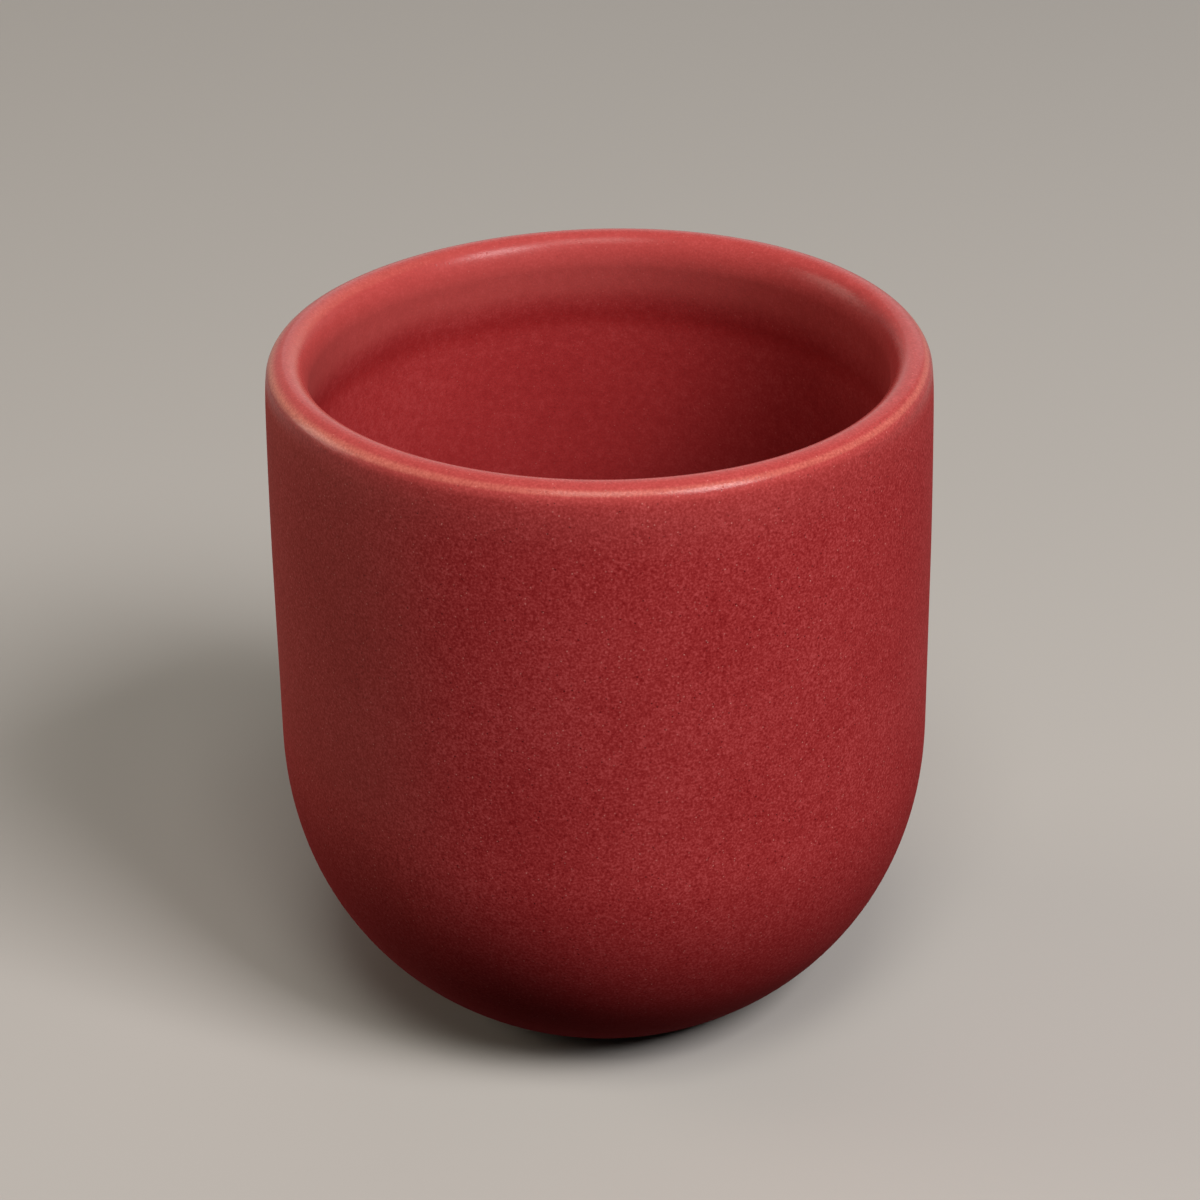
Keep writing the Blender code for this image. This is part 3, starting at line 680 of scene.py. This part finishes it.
# The clay body
# Buff stoneware, thrown or cast and then turned: wall, bowl, lip, floor and foot ring are one piece of clay.
# Only the foot ring shows, wiped clean of glaze so that the cup doesn't fuse to the kiln shelf.
RING_OUTSIDE = 18.8 * MM              # the flat face that the cup stands on
RING_INSIDE = 15.2 * MM
RECESS_DEPTH = 1.71 * MM              # as far as the seat of the glaze in it
RECESS_SLOPE = 1.6 * MM
CLAY_OVERLAP = 0.02 * MM              # how far the clay reaches into the glaze that is melted onto it
BEND_STEPS, RING_STEPS, SLOPE_STEPS, RECESS_STEPS = 8, 6, 14, 8
# the clay's own sizes, in millimetres
GRITS = 2.2                           # grains in one millimetre
IRON_GAP = 1.4
IRON_EDGE = (0.06, 0.13)              # shares of that gap between which a speck fades
IRON_SHARE = 0.75
# radii beside each glaze between which the toasting fades: by the coat, and by the glaze in the recess
TOASTED_RINGS = ((RING_OUTSIDE / MM + 1.3, RING_OUTSIDE / MM + 0.2), (12.7, 13.9))
TOAST_SHARE = 0.7
TOOL_MARK = 0.45                      # from one ring of the turning tool to the next
TOOL_WANDER = 1.5                     # how far the grit throws the tool off its ring
TOOL_RELIEF = 0.006
GRIT_RELIEF = 0.10
DARK_CLAY, PALE_CLAY, TOASTED_CLAY, IRON_SPOT = "#b5a38a", "#d5c8b3", "#a9805b", "#5d4635"

# bare fired stoneware: a matt buff body with grit and iron specks, toasted darker beside the glaze, and fine rings
# left by the turning tool
bare_clay, tree, shader, at = bare_material("bare_buff_stoneware")
flat = add(tree, "ShaderNodeVectorMath", {0: at, 1: (1, 1, 0)}, operation="MULTIPLY").outputs[0]
radius = add(tree, "ShaderNodeVectorMath", {0: flat}, operation="LENGTH").outputs["Value"]
grit = add(tree, "ShaderNodeTexNoise", {"Vector": at, "Scale": GRITS, "Detail": 5.0, "Roughness": 0.65}).outputs[0]
ramp = add(tree, "ShaderNodeValToRGB", {"Fac": grit})
ramp.color_ramp.elements[0].position = 0.3
ramp.color_ramp.elements[0].color = linear(DARK_CLAY)
ramp.color_ramp.elements[1].position = 0.7
ramp.color_ramp.elements[1].color = linear(PALE_CLAY)
colour = ramp.outputs[0]
for near, far in TOASTED_RINGS:
    toast = add(tree, "ShaderNodeMapRange", {"Value": radius, "From Min": near, "From Max": far,
                                             "To Min": TOAST_SHARE, "To Max": 0.0}).outputs[0]
    colour = add(tree, "ShaderNodeMix", {"Factor": toast, "A": colour, "B": linear(TOASTED_CLAY)},
                 data_type="RGBA").outputs["Result"]
cells = add(tree, "ShaderNodeTexVoronoi", {"Vector": at, "Scale": 1 / IRON_GAP})
iron = add(tree, "ShaderNodeMapRange", {"Value": cells.outputs["Distance"], "From Min": IRON_EDGE[0],
                                        "From Max": IRON_EDGE[1], "To Min": IRON_SHARE, "To Max": 0.0}).outputs[0]
colour = add(tree, "ShaderNodeMix", {"Factor": iron, "A": colour, "B": linear(IRON_SPOT)},
             data_type="RGBA").outputs["Result"]
tree.links.new(colour, shader.inputs["Base Color"])
shader.inputs["Roughness"].default_value = 0.85
shader.inputs["Specular IOR Level"].default_value = 0.3
wobble = add(tree, "ShaderNodeMath", {0: grit, 1: TOOL_WANDER, 2: radius}, operation="MULTIPLY_ADD").outputs[0]
rings = add(tree, "ShaderNodeMath", {0: wobble, 1: 2 * pi / TOOL_MARK}, operation="MULTIPLY").outputs[0]
rings = add(tree, "ShaderNodeMath", {0: rings}, operation="SINE").outputs[0]
relief = add(tree, "ShaderNodeMath", {0: rings, 1: TOOL_RELIEF}, operation="MULTIPLY").outputs[0]
relief = add(tree, "ShaderNodeMath", {0: grit, 1: GRIT_RELIEF, 2: relief}, operation="MULTIPLY_ADD").outputs[0]
bump = add(tree, "ShaderNodeBump", {"Height": relief, "Distance": MM})
tree.links.new(bump.outputs[0], shader.inputs["Normal"])

clay = offset([bowl_point(bowl_turn(FOOT_RADIUS))] + hidden_surface, GLAZE - CLAY_OVERLAP)
foot = [(RING_OUTSIDE + (clay[0][0] - RING_OUTSIDE) * cos(angle), clay[0][1] * (1 - sin(angle)))
        for angle in spread(0, pi / 2, BEND_STEPS)[1:]]
foot += [(r, 0.0) for r in spread(RING_OUTSIDE, RING_INSIDE, RING_STEPS)[1:-1]]
foot += [(RING_INSIDE - RECESS_SLOPE * share, RECESS_DEPTH * (1 - cos(pi * share)) / 2)
         for share in spread(0, 1, SLOPE_STEPS)]
foot += [(r, RECESS_DEPTH) for r in spread(RING_INSIDE - RECESS_SLOPE, 0.0, RECESS_STEPS)[1:]]
body = turned("stoneware_body", clay[::-1] + foot, bare_clay, (0.0, 0.0), (0.0, 0.0), 0.0, {})
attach(body, "root")
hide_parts("clay_body")

# The glaze in the recess
# A thin disc of the same glaze inside the foot ring, brushed on by hand, with a bare margin round it, in darker
# tones: painted shade under the foot.
# It lies on the clay of the recess, clear of the table, and ends in a rolled edge as the coat does.
BASE_DISC = 12.3 * MM
BASE_FACE = 1.2 * MM                  # table to the disc's face
BASE_STEPS = 20

# darker copies of the coat's tones: painted shade under the foot
recess_red_shaded = red_glaze("satin_matt_red_glaze_shaded_under_the_foot", {
    "dark": "#741317", "middle": "#902528", "pale": "#ac3e40", "speck": "#c98880", "pit": "#5c1013",
    "thin": "#b06450", "pool_and_shade": "#7c0c10", "break_and_highlight": "#c88068", "painted_shade": "#80181c", "sheen_left": SHEEN_LEFT_TONE})

face = [(r, BASE_FACE) for r in spread(BASE_DISC, 0.0, BASE_STEPS)]
rear = [(r, BASE_FACE + GLAZE) for r in spread(0.0, BASE_DISC, BASE_STEPS)]
rim = rolled_edge((BASE_DISC, BASE_FACE), (BASE_DISC, BASE_FACE + GLAZE), EDGE_STEPS)
disc_section = rear + rim[::-1] + face
disc = turned("recess_glaze", disc_section, recess_red_shaded, (BASE_DISC, BASE_FACE), (1.0, 0.0), EDGE_WANDER,
              {"below_rim": [depth_mark[0]] * len(disc_section)})
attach(disc, "root")
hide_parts("base_glaze")
